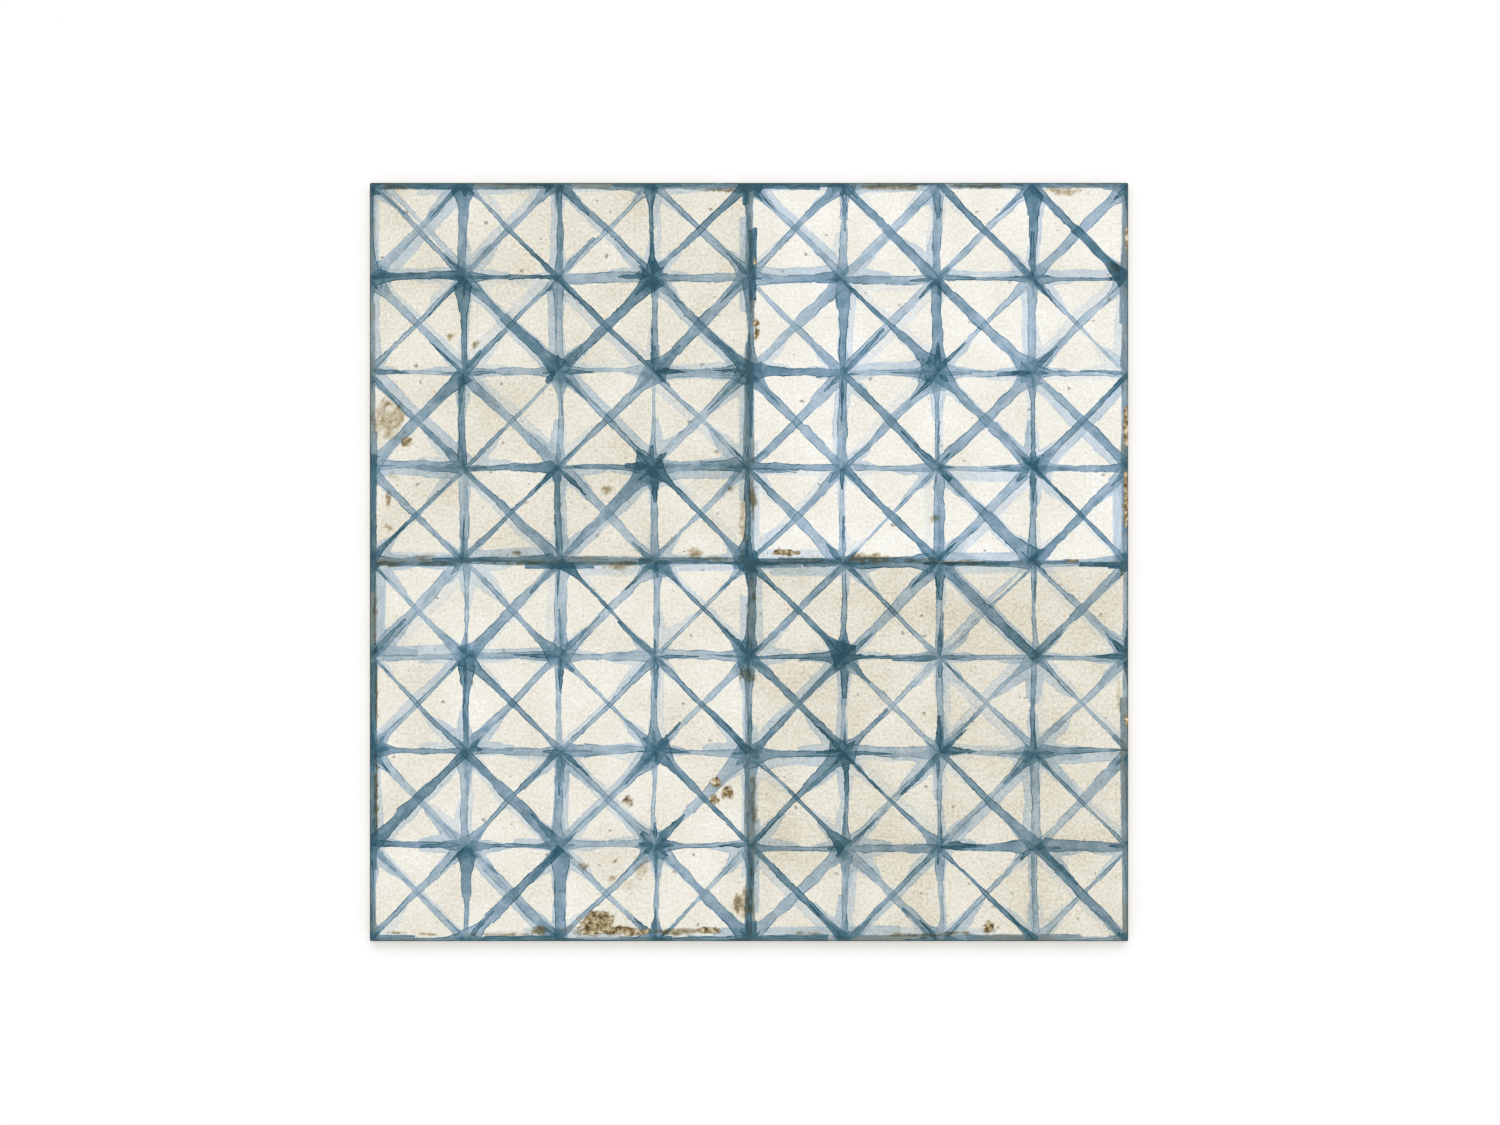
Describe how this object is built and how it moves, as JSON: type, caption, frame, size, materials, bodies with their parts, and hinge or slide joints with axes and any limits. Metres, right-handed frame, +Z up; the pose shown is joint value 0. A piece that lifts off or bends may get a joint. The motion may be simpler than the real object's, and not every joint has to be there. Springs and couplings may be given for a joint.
{
  "type": "floor tile",
  "caption": "Square glazed ceramic floor tile with a blue brush-painted lattice on worn cream, rolled edges and a keyed waffle back for bedding in adhesive.",
  "frame": {"origin": "centre of the back, on the surface that the tile lies on", "axes": "+Z up through the glazed face; +X and +Y along the sides, +Y towards the top of the picture"},
  "size_m": [0.45, 0.45, 0.01],
  "materials": {
    "glazed_body": "satin glaze"
  },
  "bodies": {
    "root": {"floor_tile": "glazed_body"}
  },
  "joints": []
}
